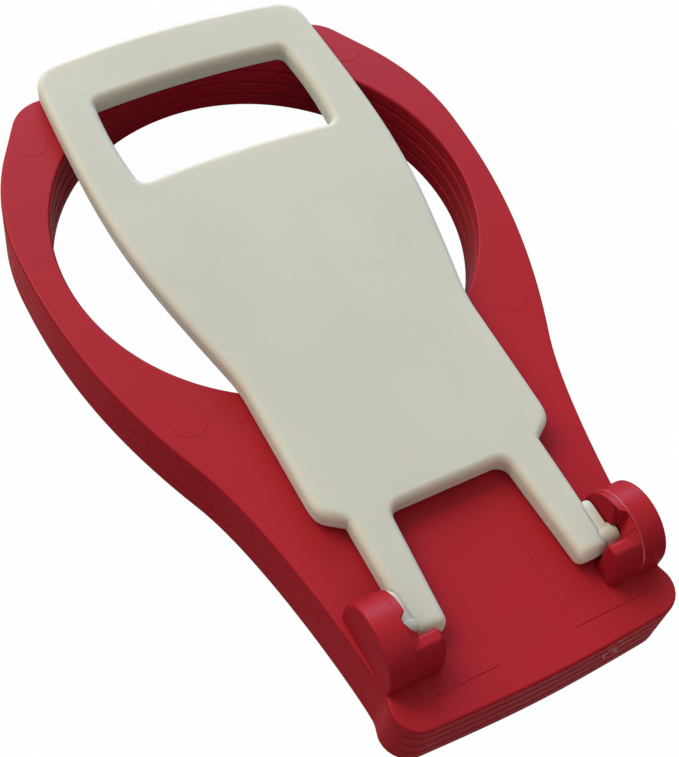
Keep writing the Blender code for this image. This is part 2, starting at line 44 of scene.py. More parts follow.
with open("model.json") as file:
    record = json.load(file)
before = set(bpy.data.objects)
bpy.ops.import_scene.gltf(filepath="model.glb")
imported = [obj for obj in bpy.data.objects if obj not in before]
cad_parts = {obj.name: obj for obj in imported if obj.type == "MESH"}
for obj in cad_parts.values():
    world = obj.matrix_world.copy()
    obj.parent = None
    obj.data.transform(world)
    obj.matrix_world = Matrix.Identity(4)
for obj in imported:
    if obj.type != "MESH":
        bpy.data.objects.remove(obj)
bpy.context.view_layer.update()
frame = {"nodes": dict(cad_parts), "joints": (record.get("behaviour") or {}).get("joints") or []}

# %% [markdown]
# Everything is placed from a few facts of the frame. The handle's hinge gives the pivot, because
# its axis passes straight over it. The bottom plate has nothing on top, so its box gives the
# plates' outline and thickness, and the next plate's box gives the step from plate to plate.

# %% Read the places from the frame
joints = {joint["name"]: joint for joint in frame["joints"]}
_, PIVOT_Y, HINGE_Z = joints["handle_hinge"]["pos_m"]
plate_low, plate_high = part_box("bottom_ring_plate")
PLATE_THICKNESS = plate_high.z
PLATE_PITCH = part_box("third_ring_plate")[1].z - plate_high.z
RING_RADIUS = plate_high.x
FAR_REACH = plate_high.y - PIVOT_Y
FRONT_REACH = PIVOT_Y - plate_low.y
RUNNING_GAP = PLATE_PITCH - PLATE_THICKNESS
PLATES = ("bottom_ring_plate", "third_ring_plate", "second_ring_plate", "top_ring_plate")
TOP_FACE_Z = PLATE_PITCH * (len(PLATES) - 1) + PLATE_THICKNESS
print("pivot at y =", round(PIVOT_Y / MM, 2), "mm; plate pitch", round(PLATE_PITCH / MM, 2), "mm")

# %% [markdown]
# ## Outlines
# A flat moulding is drawn as its outline first. Straight runs need only their ends, round corners
# are arcs, and the free curves of the sides are Bezier spans, the same spans that a designer
# would pull in a drawing program. All of them are lists of points, measured from the pivot.

# %% Arcs, corners and free curves
CURVE_STEPS = 28
CORNER_STEPS = 8
CIRCLE_CURVE_SHARE = 0.552


def arc(centre, radius, start, end, steps):
    """Points on a circle from one angle to another, with both ends."""
    angles = [start + (end - start) * step / steps for step in range(steps + 1)]
    return [Vector((centre[0] + radius * math.cos(a), centre[1] + radius * math.sin(a))) for a in angles]


def curve(start, leave, arrive, end, steps=CURVE_STEPS):
    """A Bezier span; leave and arrive are the ways from its ends to its handles."""
    start, leave, arrive, end = (Vector(point) for point in (start, leave, arrive, end))
    return interpolate_bezier(start, start + leave, end + arrive, end, steps + 1)


def fillet(before, corner, after, radius):
    """The rounded corner between two straight lines."""
    before, corner, after = Vector(before), Vector(corner), Vector(after)
    to_before = (before - corner).normalized()
    to_after = (after - corner).normalized()
    half_angle = to_before.angle(to_after) / 2
    reach = radius / math.tan(half_angle)
    centre = corner + (to_before + to_after).normalized() * radius / math.sin(half_angle)
    first = corner + to_before * reach - centre
    last = corner + to_after * reach - centre
    start = math.atan2(first.y, first.x)
    return arc(centre, radius, start, start - first.angle_signed(last), CORNER_STEPS)


# %% [markdown]
# ## From an outline to a moulding
# Both kinds of flat moulding are alike left and right. So only the right half is drawn, as one
# face with many corners, and the mirror operator adds the left half and welds it on. A hole in
# the middle then needs no face with a hole in it: the half face simply runs round it. Extruding
# the face gives the thickness, and a bevel along the rims gives the soft edge that a moulding has.

# %% Sheets, walls and soft rims
MERGE = 0.001 * MM
RIM_SEGMENTS = 5
SMOOTH_ANGLE = math.radians(35)


def half_sheet(bm, outline, patch=0):
    """One flat face from the outline of a right half. Its patch number rides in its material index."""
    points = [p for index, p in enumerate(outline) if (p - outline[index - 1]).length > MERGE]
    face = bm.faces.new([bm.verts.new((*point, 0)) for point in points])
    face.material_index = patch


def mirror_sheet(bm):
    """Welds the patches together and adds the left half."""
    bmesh.ops.remove_doubles(bm, verts=bm.verts, dist=MERGE)
    bmesh.ops.mirror(bm, geom=bm.verts[:] + bm.edges[:] + bm.faces[:], matrix=Matrix.Identity(4),
                     merge_dist=MERGE, axis='X')


def push(bm, faces, way):
    """Extrudes faces and moves the new ones; their borders become walls."""
    grown = bmesh.ops.extrude_face_region(bm, geom=faces)["geom"]
    bmesh.ops.translate(bm, verts=[item for item in grown if isinstance(item, bmesh.types.BMVert)], vec=way)
    bmesh.ops.recalc_face_normals(bm, faces=bm.faces)


def rims(bm, axis):
    """The edges where an end face, square to the axis, meets a side wall."""
    axis = Vector(axis)
    bm.normal_update()
    return [edge for edge in bm.edges if len(edge.link_faces) == 2
            and sorted(abs(face.normal.dot(axis)) > 0.7 for face in edge.link_faces) == [False, True]]


def soften(bm, edges, radius, segments=RIM_SEGMENTS):
    """Rounds edges with a bevel."""
    bmesh.ops.bevel(bm, geom=edges, offset=radius, offset_type='OFFSET', segments=segments, profile=0.5,
                    affect='EDGES', clamp_overlap=False, material=-1)


def middle(edge):
    return (edge.verts[0].co + edge.verts[1].co) / 2


# %% [markdown]
# Big flat faces beside narrow bevels shade badly when every face counts the same in a corner's
# normal. A Weighted Normal modifier lets the large faces win, so the flats look flat and only
# the rims turn the light. Corners sharper than 35 degrees stay crisp.

# %% Turn a bmesh into a piece of the object
def add_piece(name, bm, finish, body, replaced=()):
    """Places a finished bmesh as a piece that moves with a body and stands for CAD nodes."""
    for face in bm.faces:
        face.material_index = 0
    bmesh.ops.recalc_face_normals(bm, faces=bm.faces)
    mesh = bpy.data.meshes.new(name)
    bm.to_mesh(mesh)
    bm.free()
    mesh.shade_smooth()
    mesh.set_sharp_from_angle(angle=SMOOTH_ANGLE)
    mesh.materials.append(finish)
    piece = bpy.data.objects.new(name, mesh)
    bpy.context.scene.collection.objects.link(piece)
    weights = piece.modifiers.new("large faces win", 'WEIGHTED_NORMAL')
    weights.keep_sharp = True
    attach(piece, body)
    "cream_plastic" if body == "handle" else "red_plastic"
    for node in replaced:
        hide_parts(node)
    print(f"{name}: {len(mesh.polygons)} faces")
    return piece


def add_island(bm, island):
    """Copies a closed shape into a bmesh as one more shell."""
    mesh = bpy.data.meshes.new("island")
    island.to_mesh(mesh)
    island.free()
    bm.from_mesh(mesh)
    bpy.data.meshes.remove(mesh)


# %% [markdown]
# ## Plastic finishes
# Both colours are the same kind of injection-moulded plastic: satin, with a very fine grain from
# the mould, slow waves where the skin shrank as it cooled, a few scuffs that only show in the
# gloss, specks, and one worn spot on the front edge of the stack. All of it is procedural, in metres, from the piece's own coordinates.
# Upper faces lay against a polished mould and shine a little. The side walls were drawn out of the
# mould and are duller, so the coat weight depends on which way the moulding's surface faces. The
# same mask blends a darker colour into the side walls, as painted shade for the light they miss.
# The maths of the masks is written as plain expressions. The small class below wraps a socket,
# and each operator on it adds the Math node that the expression needs.

# %% Shader maths as expressions
class Value:
    """A number that varies over the surface: a socket that knows how to add Math nodes."""

    def __init__(self, finish, socket):
        self.finish = finish
        self.socket = socket

    def _math(self, operation, *operands):
        node = self.finish.node("ShaderNodeMath", {"operation": operation}, dict(enumerate(operands)))
        return Value(self.finish, node.outputs[0])

    def __add__(self, other):
        return self._math('ADD', self, other)

    def __mul__(self, other):
        return self._math('MULTIPLY', self, other)

    def __sub__(self, other):
        return self._math('SUBTRACT', self, other)

    def __rsub__(self, other):
        return self._math('SUBTRACT', other, self)

    def __gt__(self, other):
        return self._math('GREATER_THAN', self, other)

    __radd__ = __add__
    __rmul__ = __mul__


class Finish:
    """The nodes of one material, or of the sky, with one way to add any node to them."""

    def __init__(self, owner, shader="Principled BSDF"):
        owner.use_nodes = True
        self.material = owner
        self.tree = owner.node_tree
        self.shader = self.tree.nodes[shader]

    def node(self, kind, settings, values):
        """A node of a kind, with its settings first, and then the values or links of its sockets."""
        node = self.tree.nodes.new(kind)
        for name, setting in settings.items():
            setattr(node, name, setting)
        for name, value in values.items():
            self.feed(node.inputs[name], value)
        return node

    def feed(self, socket, value):
        """Links a socket to another one, or sets it."""
        if isinstance(value, Value):
            value = value.socket
        if isinstance(value, bpy.types.NodeSocket):
            self.tree.links.new(value, socket)
        else:
            socket.default_value = value

    def noise(self, grain, detail=2.0, stretch=(1, 1, 1)):
        """Noise whose blobs are about one grain across, in metres, from 0 to 1."""
        place = self.node("ShaderNodeTexCoord", {}, {}).outputs["Object"]
        scaled = self.node("ShaderNodeMapping", {}, {"Vector": place, "Scale": stretch}).outputs[0]
        node = self.node("ShaderNodeTexNoise", {}, {"Vector": scaled, "Scale": 1 / grain, "Detail": detail})
        return Value(self, node.outputs["Fac"])

    def blend(self, factor, first, second):
        """A colour between two colours."""
        return self.node("ShaderNodeMix", {"data_type": 'RGBA'}, {0: factor, 6: first, 7: second}).outputs[2]


# %% [markdown]
# The recipe below is one function for both colours. The tone drifts a little over centimetres, as
# pigment does. Side walls may take a darker colour than upper faces, which is painted shade. Roughness
# carries handling smudges and hairline scuffs. The bump has two layers: the mould's grain, a few
# tenths of a millimetre across, and the slow waves of the cooled skin.

# %% The satin plastic recipe
TONE_GRAIN = 26 * MM
SMUDGE_GRAIN = 14 * MM
SCUFF_GRAIN = 1.6 * MM
SCUFF_STRETCH = (1, 0.06, 1)
SPECK_GRAIN = 0.6 * MM
MOULD_GRAIN = 0.45 * MM
WAVE_GRAIN = 7 * MM
MOULD_RELIEF = 0.010 * MM
WAVE_RELIEF = 0.030 * MM
WEAR_GRAIN = 1.1 * MM
WEAR_REACH = 3.8 * MM
WORN = (0.55, 0.30, 0.27, 1.0)


def shade_of(colour, factor):
    return tuple(channel * factor for channel in colour[:3]) + (1.0,)


def wear_mask(finish, place):
    """Flecks within a few millimetres of a place on the moulding."""
    here = finish.node("ShaderNodeTexCoord", {}, {}).outputs["Object"]
    away = finish.node("ShaderNodeVectorMath", {"operation": 'DISTANCE'}, {0: here, 1: place}).outputs["Value"]
    return (1 - (Value(finish, away) > WEAR_REACH)) * (finish.noise(WEAR_GRAIN) > 0.58)


def drifting(finish, tone, colour):
    """A colour that drifts a little with the tone noise."""
    return finish.blend(tone, shade_of(colour, 0.93), shade_of(colour, 1.07))


def satin_plastic(name, colour, painted_wall_shade, speck_colour, roughness, gloss, polish, worn=None):
    """Injection-moulded plastic with pigment drift, smudges, scuffs, specks, a fine grain and painted shade on its
    walls.
    """
    finish = Finish(bpy.data.materials.new(name))
    tone = finish.noise(TONE_GRAIN)
    smudge = finish.noise(SMUDGE_GRAIN, detail=4.0)
    scuff = finish.noise(SCUFF_GRAIN, stretch=SCUFF_STRETCH) > 0.66
    speck = finish.noise(SPECK_GRAIN, detail=0.0) > 0.885
    normal = finish.node("ShaderNodeTexCoord", {}, {}).outputs["Normal"]
    upward = finish.node("ShaderNodeSeparateXYZ", {}, {0: normal}).outputs[2]
    polish_and_painted_shade_mask = finish.node("ShaderNodeMapRange", {"interpolation_type": 'SMOOTHSTEP'},
                           {0: upward, 1: 0.45, 2: 0.95, 3: 0.0, 4: 1.0}).outputs[0]
    # Surfaces that do not face up take the darker wall colour: painted shade, because walls catch less light.
    drift_and_painted_shade = finish.blend(polish_and_painted_shade_mask, drifting(finish, tone, painted_wall_shade), drifting(finish, tone, colour))
    tinted = finish.blend(speck * 0.35, drift_and_painted_shade, speck_colour)
    if worn:
        tinted = finish.blend(wear_mask(finish, worn) * 0.55, tinted, WORN)
    finish.feed(finish.shader.inputs["Base Color"], tinted)
    finish.feed(finish.shader.inputs["Roughness"], roughness - 0.05 + smudge * 0.10 + scuff * 0.05)
    finish.feed(finish.shader.inputs["Coat Weight"], Value(finish, polish_and_painted_shade_mask) * polish)
    finish.shader.inputs["Coat Roughness"].default_value = 0.34
    finish.shader.inputs["Metallic"].default_value = 0
    finish.shader.inputs["IOR"].default_value = 1.49
    finish.shader.inputs["Specular IOR Level"].default_value = gloss
    waves = finish.node("ShaderNodeBump", {}, {"Strength": 1.0, "Distance": WAVE_RELIEF,
                                               "Height": finish.noise(WAVE_GRAIN)})
    grain = finish.node("ShaderNodeBump", {}, {"Strength": 1.0, "Distance": MOULD_RELIEF,
                                               "Height": finish.noise(MOULD_GRAIN), "Normal": waves.outputs[0]})
    finish.feed(finish.shader.inputs["Normal"], grain.outputs[0])
    return finish


RED = (0.395, 0.017, 0.027, 1.0)
# Painted shade: a darker red for the side walls, which catch less light than the upper faces.
RED_PAINTED_WALL_SHADE = (0.315, 0.012, 0.021, 1.0)
RED_SPECK = (0.55, 0.12, 0.12, 1.0)
CREAM = (0.60, 0.595, 0.515, 1.0)
CREAM_SPECK = (0.30, 0.30, 0.26, 1.0)
# A slightly lighter red for the right drum's mould line: a painted highlight.
MOULD_LINE_PAINTED_HIGHLIGHT = (0.42, 0.030, 0.042, 1.0)
WORN_PLACE = (14.0 * MM, -78.1 * MM, 9.2 * MM)
red_plastic = satin_plastic("red_satin_plastic", RED, RED_PAINTED_WALL_SHADE, RED_SPECK, 0.42, 0.004, 0.22, WORN_PLACE).material
mould_line = satin_plastic("red_mould_line_painted_highlight", MOULD_LINE_PAINTED_HIGHLIGHT, MOULD_LINE_PAINTED_HIGHLIGHT, RED_SPECK, 0.25, 0.65, 0.0).material
trunnion_cream = satin_plastic("trunnion_satin_plastic", CREAM, CREAM, CREAM_SPECK, 0.48, 0.05, 0.0).material
cream = satin_plastic("cream_satin_plastic", CREAM, CREAM, CREAM_SPECK, 0.48, 0.05, 0.0)
cream.shader.inputs["Subsurface Weight"].default_value = 1.0
cream.shader.inputs["Subsurface Radius"].default_value = (1.0, 0.6, 0.5)
cream.shader.inputs["Subsurface Scale"].default_value = 3.5 * MM
cream_plastic = cream.material
print("finishes:", red_plastic.name, "and", cream_plastic.name)

# %% [markdown]
# ## The outline of a ring plate
# In plan a plate is a ring round its cup hole, drawn in to a waist at the pivot, with a blunt
# front, and cut blunt at its far end as well. One side is enough. It starts in the middle of the front, goes round the front corner,
# up the hollow waist, over the turn into the ring, and ends in the middle of the far end.

# %% Draw a plate's right side
CUP_HOLE_RADIUS = 42.0 * MM
PIVOT_REACH = 88.7 * MM
RING_LEAD = 8.3 * MM
FAR_ARCH = 1.6 * MM
FAR_HALF_WIDTH = 34.4 * MM
FAR_CORNER_RADIUS = 8.5 * MM
SHOULDER_TURN = math.radians(32)
WAIST_HALF_WIDTH = 27.4 * MM
FRONT_CORNER_RADIUS = 5.2 * MM
FRONT_FLARE = 0.7 * MM
FRONT_BOW = 0.8 * MM
WAIST_REACH_SHARE = 0.42
TURN_REACH_SHARE = 0.472
TURN_WIDTH_SHARE = 0.45
TURN_ANGLE = math.radians(23.5)
WAIST_CURVE_SHARE = 0.10
TURN_IN_CURVE_SHARE = 0.31
TURN_OUT_CURVE_SHARE = 0.51
RING_CURVE_SHARE = 0.20
RING_STEPS = 20
HOLE_STEPS = 96


def plate_side():
    """The right side of a plate, from the middle of its front to the middle of its far end."""
    waist = Vector((WAIST_HALF_WIDTH, -FRONT_REACH * WAIST_REACH_SHARE))
    turn_x = WAIST_HALF_WIDTH + (RING_RADIUS - WAIST_HALF_WIDTH) * TURN_WIDTH_SHARE
    turn = Vector((turn_x, PIVOT_REACH * TURN_REACH_SHARE))
    ring = Vector((RING_RADIUS, PIVOT_REACH + RING_LEAD))
    corner_end = Vector((WAIST_HALF_WIDTH + FRONT_FLARE, FRONT_BOW + FRONT_CORNER_RADIUS - FRONT_REACH))
    corner_start = corner_end - Vector((FRONT_CORNER_RADIUS, FRONT_CORNER_RADIUS))
    corner_curve = FRONT_CORNER_RADIUS * CIRCLE_CURVE_SHARE
    slope = Vector((math.sin(TURN_ANGLE), math.cos(TURN_ANGLE)))
    hollow = turn.y - waist.y
    swell = ring.y - turn.y
    front_third = Vector((corner_start.x / 3, 0))
    flare_third = Vector((0, (waist.y - corner_end.y) / 3))
    side = curve((0, -FRONT_REACH), front_third, -front_third - Vector((0, FRONT_BOW / 2)), corner_start)
    side += curve(corner_start, (corner_curve, 0), (0, -corner_curve), corner_end, CORNER_STEPS)
    side += curve(corner_end, flare_third, -flare_third, waist, CORNER_STEPS)
    side += curve(waist, (0, hollow * WAIST_CURVE_SHARE), -slope * hollow * TURN_IN_CURVE_SHARE, turn)
    side += curve(turn, slope * swell * TURN_OUT_CURVE_SHARE, (0, -swell * RING_CURVE_SHARE), ring)
    shoulder = arc((0, ring.y), RING_RADIUS, 0, SHOULDER_TURN, RING_STEPS)
    apex = Vector((0, FAR_REACH))
    far_corner = fillet(shoulder[-1], (FAR_HALF_WIDTH, FAR_REACH - FAR_ARCH), apex, FAR_CORNER_RADIUS)
    arch = apex - far_corner[-1]
    return side + shoulder + far_corner + curve(far_corner[-1], arch / 3, (-arch.x / 3, 0), apex, CORNER_STEPS)


def half_circle(radius, centre_y, steps):
    """The right half of a circle on the middle line, from its far point to its near one."""
    return arc((0, centre_y), radius, math.pi / 2, -math.pi / 2, steps)


print("half outline of a plate:", len(plate_side()), "points")

# %% [markdown]
# ## Pivot, grooves and pegs
# Fanned out, the stack shows what the folded carrier hides. Each lower plate has a bore that turns
# on the top plate's hollow spigot, and an arc groove in its upper face. A peg under the plate
# above runs in that groove and stops each step of the fan at a right angle. The bottom plate also
# has a seat for the cap. Grooves and seats are patches of the half sheet, pushed in afterwards.

# %% Patches round the pivot
SPIGOT_RADIUS = 8.0 * MM
SPIGOT_WALL = 2.4 * MM
SPIGOT_LIP = 0.7 * MM
SPIGOT_LIP_HEIGHT = 1.6 * MM
CAP_LEDGE = 3.0 * MM
CAP_THICKNESS = 1.4 * MM
STOP_LAND = 1.0 * MM
STOP_PEG_RADIUS = 1.4 * MM
STOP_PEG_REACH = 1.0 * MM
STOP_START = math.radians(45)
BORE_RADIUS = SPIGOT_RADIUS + RUNNING_GAP
SEAT_RADIUS = SPIGOT_RADIUS + CAP_LEDGE + RUNNING_GAP
SEAT_DEPTH = CAP_THICKNESS + 2 * RUNNING_GAP
GROOVE_HALF_WIDTH = STOP_PEG_RADIUS + RUNNING_GAP
GROOVE_DEPTH = STOP_PEG_REACH + RUNNING_GAP
STOP_RADIUS = SEAT_RADIUS + STOP_LAND + GROOVE_HALF_WIDTH
BORE_STEPS = 40
GROOVE, SEAT = 1, 2


def half_groove():
    """The right half of the arc groove, from its far point on the middle line to its near one."""
    end_cap = Vector((math.cos(STOP_START), math.sin(STOP_START))) * STOP_RADIUS
    outline = arc((0, 0), STOP_RADIUS + GROOVE_HALF_WIDTH, math.pi / 2, STOP_START, CORNER_STEPS)
    outline += arc(end_cap, GROOVE_HALF_WIDTH, STOP_START, STOP_START - math.pi, 2 * CORNER_STEPS)
    return outline + arc((0, 0), STOP_RADIUS - GROOVE_HALF_WIDTH, STOP_START, math.pi / 2, CORNER_STEPS)


def pivot_patches(bm, has_seat):
    """Adds the groove and seat patches, and returns the path round them for the plate's own face."""
    groove = half_groove()
    half_sheet(bm, groove, GROOVE)
    bore = half_circle(BORE_RADIUS, 0, BORE_STEPS)
    if not has_seat:
        return groove + bore
    seat = half_circle(SEAT_RADIUS, 0, BORE_STEPS)
    half_sheet(bm, seat + bore[::-1], SEAT)
    return groove + seat


# %% [markdown]
# ## Building the four plates
# All plates share their outline and cup hole, so one function builds them. The rims of the
# outline and the cup hole get a generous radius below, and on the top plate above as well, which is
# what the bands of light and shade along the edge of the stack come from. The rims that lie under
# another plate are tighter, so the grooves between the plates stay dark. The bore keeps a small
# radius too, because a bearing edge is crisp.

# %% Build one ring plate
PLATE_EDGE = 0.6 * MM
COVERED_EDGE = 0.2 * MM
BORE_EDGE = 0.2 * MM


def plate_bmesh(has_bearing, has_seat):
    """A ring plate on the pivot, from z = 0 to its thickness. One with a bearing lies under another plate."""
    bm = bmesh.new()
    path = plate_side() + half_circle(CUP_HOLE_RADIUS, PIVOT_REACH, HOLE_STEPS)
    if has_bearing:
        path += pivot_patches(bm, has_seat)
    half_sheet(bm, path)
    mirror_sheet(bm)
    push(bm, bm.faces[:], (0, 0, PLATE_THICKNESS))
    edges = rims(bm, (0, 0, 1))
    near_pivot = [edge for edge in edges if middle(edge).length < SEAT_RADIUS]
    half = PLATE_THICKNESS / 2
    outer = [edge for edge in edges if edge not in near_pivot]
    upper = [edge for edge in outer if middle(edge).z > half]
    soften(bm, [edge for edge in outer if edge not in upper], PLATE_EDGE)
    soften(bm, upper, COVERED_EDGE if has_bearing else PLATE_EDGE)
    soften(bm, near_pivot, BORE_EDGE, 2)
    grooves = [face for face in bm.faces if face.material_index == GROOVE and face.calc_center_median().z > half]
    if grooves:
        push(bm, grooves, (0, 0, -GROOVE_DEPTH))
    seats = [face for face in bm.faces if face.material_index == SEAT and face.calc_center_median().z < half]
    if seats:
        push(bm, seats, (0, 0, SEAT_DEPTH))
    return bm


# %% [markdown]
# A peg is a short round post under three of the plates. The spigot under the top plate is a
# turned shape, so it is spun from its profile: a tube with a lip inside its foot, over which the
# cap's barb snaps.

# %% Pegs and the spigot
PEG_EDGE = 0.2 * MM
ROOT_DEPTH = 1.2 * MM
SPIN_STEPS = 96


def peg_island():
    """A stop peg, from inside the plate down into the groove below."""
    island = bmesh.new()
    depth = ROOT_DEPTH + RUNNING_GAP + STOP_PEG_REACH
    bmesh.ops.create_cone(island, cap_ends=True, segments=32, radius1=STOP_PEG_RADIUS, radius2=STOP_PEG_RADIUS,
                          depth=depth)
    soften(island, rims(island, (0, 0, 1)), PEG_EDGE, 3)
    place = (STOP_RADIUS * math.cos(STOP_START), STOP_RADIUS * math.sin(STOP_START), ROOT_DEPTH - depth / 2)
    bmesh.ops.translate(island, verts=island.verts, vec=place)
    return island


def turned(profile):
    """A closed profile of radius and height, spun about the pivot."""
    island = bmesh.new()
    verts = [island.verts.new((radius, 0, height)) for radius, height in profile]
    edges = [island.edges.new((verts[index - 1], vert)) for index, vert in enumerate(verts)]
    bmesh.ops.spin(island, geom=verts + edges, axis=(0, 0, 1), cent=(0, 0, 0), angle=math.tau,
                   steps=SPIN_STEPS, use_merge=True)
    bmesh.ops.remove_doubles(island, verts=island.verts, dist=MERGE)
    bmesh.ops.recalc_face_normals(island, faces=island.faces)
    return island


def spigot_island():
    """The hollow post, in the top plate's own heights."""
    foot = SEAT_DEPTH - PLATE_PITCH * (len(PLATES) - 1)
    bore = SPIGOT_RADIUS - SPIGOT_WALL
    throat = bore - SPIGOT_LIP
    lip_top = foot + SPIGOT_LIP_HEIGHT
    return turned([(bore, ROOT_DEPTH), (SPIGOT_RADIUS, ROOT_DEPTH), (SPIGOT_RADIUS, foot + PEG_EDGE),
                   (SPIGOT_RADIUS - PEG_EDGE, foot), (throat + PEG_EDGE, foot), (throat, foot + PEG_EDGE),
                   (throat, lip_top), (bore, lip_top + SPIGOT_LIP)])


# %% [markdown]
# ## Mould marks on the top face
# The red plates carry the faint round witness marks of the pins that push a moulding out of its
# mould. Each is a disc that stands out by a few hundredths of a millimetre with a fine edge, so it
# is real relief here too, and its edge catches the light only from some sides.

# %% Ejector marks
EJECTOR_RADIUS = 3.5 * MM
EJECTOR_RELIEF = 0.05 * MM
EJECTOR_PLACES = ((-35.5 * MM, 123.0 * MM), (35.5 * MM, 123.0 * MM), (-34.2 * MM, 52.1 * MM), (34.2 * MM, 52.1 * MM))


def ejector_islands(bm):
    """Thin discs round the ring on the upper face."""
    for place in EJECTOR_PLACES:
        island = bmesh.new()
        bmesh.ops.create_circle(island, cap_ends=True, segments=64, radius=EJECTOR_RADIUS)
        push(island, island.faces[:], (0, 0, 2 * EJECTOR_RELIEF))
        soften(island, rims(island, (0, 0, 1)), EJECTOR_RELIEF, 1)
        bmesh.ops.translate(island, verts=island.verts, vec=(*place, PLATE_THICKNESS - EJECTOR_RELIEF))
        add_island(bm, island)


# %% Place the four plates
for index, name in enumerate(PLATES):
    plate = plate_bmesh(has_bearing=name != "top_ring_plate", has_seat=index == 0)
    if index:
        add_island(plate, peg_island())
    if name == "top_ring_plate":
        add_island(plate, spigot_island())
        ejector_islands(plate)
    bmesh.ops.translate(plate, verts=plate.verts, vec=(0, PIVOT_Y, index * PLATE_PITCH))
    add_piece(name + "_moulding", plate, red_plastic, name.split("_")[0], [name])

# %% [markdown]
# ## The clips
# The handle's pins turn in two clips on the top plate. Each has a thick round end wall, a rear jaw
# that curls over the pin to a rounded nose, and a lower front jaw that ends the handle's swing.
# They are drawn from the side, with the hinge axis at zero, and extruded across the plate. The
# end wall is a little fatter than the jaws, and its edge there is the bright line round the drum.

# %% Prisms drawn from the side
CLIP_EDGE = 0.5 * MM
LINE_RELIEF = 0.03 * MM
LINE_WIDTH = 0.32 * MM
LINE_EDGE = 0.15 * MM
HINGE_HEIGHT = HINGE_Z - TOP_FACE_Z


def side_prism(outline, inner, outer, inner_edge, outer_edge):
    """A prism across the part: the outline's x and y become y and z. Its end rims are rounded."""
    island = bmesh.new()
    points = [p for index, p in enumerate(outline) if (p - outline[index - 1]).length > MERGE]
    island.faces.new([island.verts.new((inner, *point)) for point in points])
    push(island, island.faces[:], (outer - inner, 0, 0))
    edges = rims(island, (1, 0, 0))
    half = (inner + outer) / 2
    for radius, ends in ((inner_edge, [edge for edge in edges if middle(edge).x < half]),
                         (outer_edge, [edge for edge in edges if middle(edge).x > half])):
        if radius:
            soften(island, ends, radius, 4)
    return island


# %% [markdown]
# The pin's bore is 0.4 mm wider all round than the pin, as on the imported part. Nose and jaw are
# arcs about the hinge axis where they follow the pin or the drum, and small fillets elsewhere.

# %% Profiles of the clip
PIN_RADIUS = 2.25 * MM
PIN_BORE_GAP = 0.25 * MM
CLIP_RADIUS = 7.8 * MM
JAW_STEP = 0.15 * MM
JAW_RADIUS = CLIP_RADIUS - JAW_STEP
NOSE_LEAD = 0.4 * MM
NOSE_ROUND = 0.9 * MM
JAW_FACE = 3.025 * MM
JAW_RISE = 5.6 * MM
JAW_CREST = 0.9 * MM
JAW_ROUND = 0.75 * MM
NOSE_CUT = 1.9 * MM
RAMP_WIDTH = 2.1 * MM
RAMP_FOOT = 5.4 * MM
RAMP_EDGE = 0.3 * MM
CLIP_STEPS = 40


def end_wall_profile(radius):
    """Upright sides, and a round top about the hinge axis."""
    foot = -HINGE_HEIGHT - ROOT_DEPTH
    return [Vector((radius, foot))] + arc((0, 0), radius, 0, math.pi, CLIP_STEPS) + [Vector((-radius, foot))]


def rear_jaw_profile():
    """Behind and over the pin, with a rounded nose just past the axis."""
    foot = -HINGE_HEIGHT - ROOT_DEPTH
    bore = PIN_RADIUS + PIN_BORE_GAP
    nose_top = math.acos(-NOSE_LEAD / JAW_RADIUS)
    nose_y = NOSE_ROUND - NOSE_LEAD
    nose_z = math.sqrt((bore + NOSE_ROUND) ** 2 - nose_y ** 2)
    nose_angle = math.atan2(nose_z, nose_y)
    profile = [Vector((0, foot)), Vector((JAW_RADIUS, foot))]
    profile += arc((0, 0), JAW_RADIUS, 0, nose_top, CLIP_STEPS // 2)
    profile += arc((nose_y, nose_z), NOSE_ROUND, math.pi, math.pi + nose_angle, CORNER_STEPS)
    return profile + arc((0, 0), bore, nose_angle, -math.pi / 2, CLIP_STEPS // 2)


def crest_lean():
    """The middle of the crest's front round, and the angle at which it runs into the drum's round."""
    height = JAW_RISE - JAW_CREST
    centre = Vector((-math.sqrt((JAW_RADIUS - JAW_CREST) ** 2 - height ** 2), height))
    return centre, math.atan2(centre.y, centre.x)


def front_jaw_profile():
    """The block ahead of the pin: upright behind, a rounded crest, and the drum's round in front."""
    foot = -HINGE_HEIGHT - ROOT_DEPTH
    crest, lean = crest_lean()
    profile = [Vector((-JAW_FACE, foot))]
    profile += fillet((-JAW_FACE, foot), (-JAW_FACE, JAW_RISE), (crest.x, JAW_RISE), JAW_CREST)
    profile += arc(crest, JAW_CREST, math.pi / 2, lean, CORNER_STEPS)
    return profile + arc((0, 0), JAW_RADIUS, lean, math.pi, CLIP_STEPS // 2) + [Vector((-JAW_RADIUS, foot))]


# %% [markdown]
# The mouth between the jaws leads the pin in when the handle is pressed home. The rear jaw's inner
# front corner is cut off on the slant. Opposite that cut a web fills the corner between the end
# wall and the front jaw. Both start as prisms, and a slanted plane slices them. The web's top then
# sinks from the end wall's rim to the front jaw, so that it leads the pin inwards.

# %% Slanted cuts and the web
NOSE_EDGE = 0.35 * MM


def slice_off(island, place, way, edge):
    """Cuts off what lies beyond a plane, closes the cut, and rounds the edges round it."""
    place, way = Vector(place), Vector(way)
    cut = bmesh.ops.bisect_plane(island, geom=island.verts[:] + island.edges[:] + island.faces[:], dist=MERGE,
                                 plane_co=place, plane_no=way, clear_outer=True)["geom_cut"]
    bmesh.ops.contextual_create(island, geom=[item for item in cut if isinstance(item, bmesh.types.BMEdge)])
    bmesh.ops.recalc_face_normals(island, faces=island.faces)
    if edge:
        rim = [item for item in island.edges if item.calc_face_angle(0) > SMOOTH_ANGLE
               and all(abs((vert.co - place).dot(way.normalized())) < MERGE for vert in item.verts)]
        soften(island, rim, edge, 3)
    return island


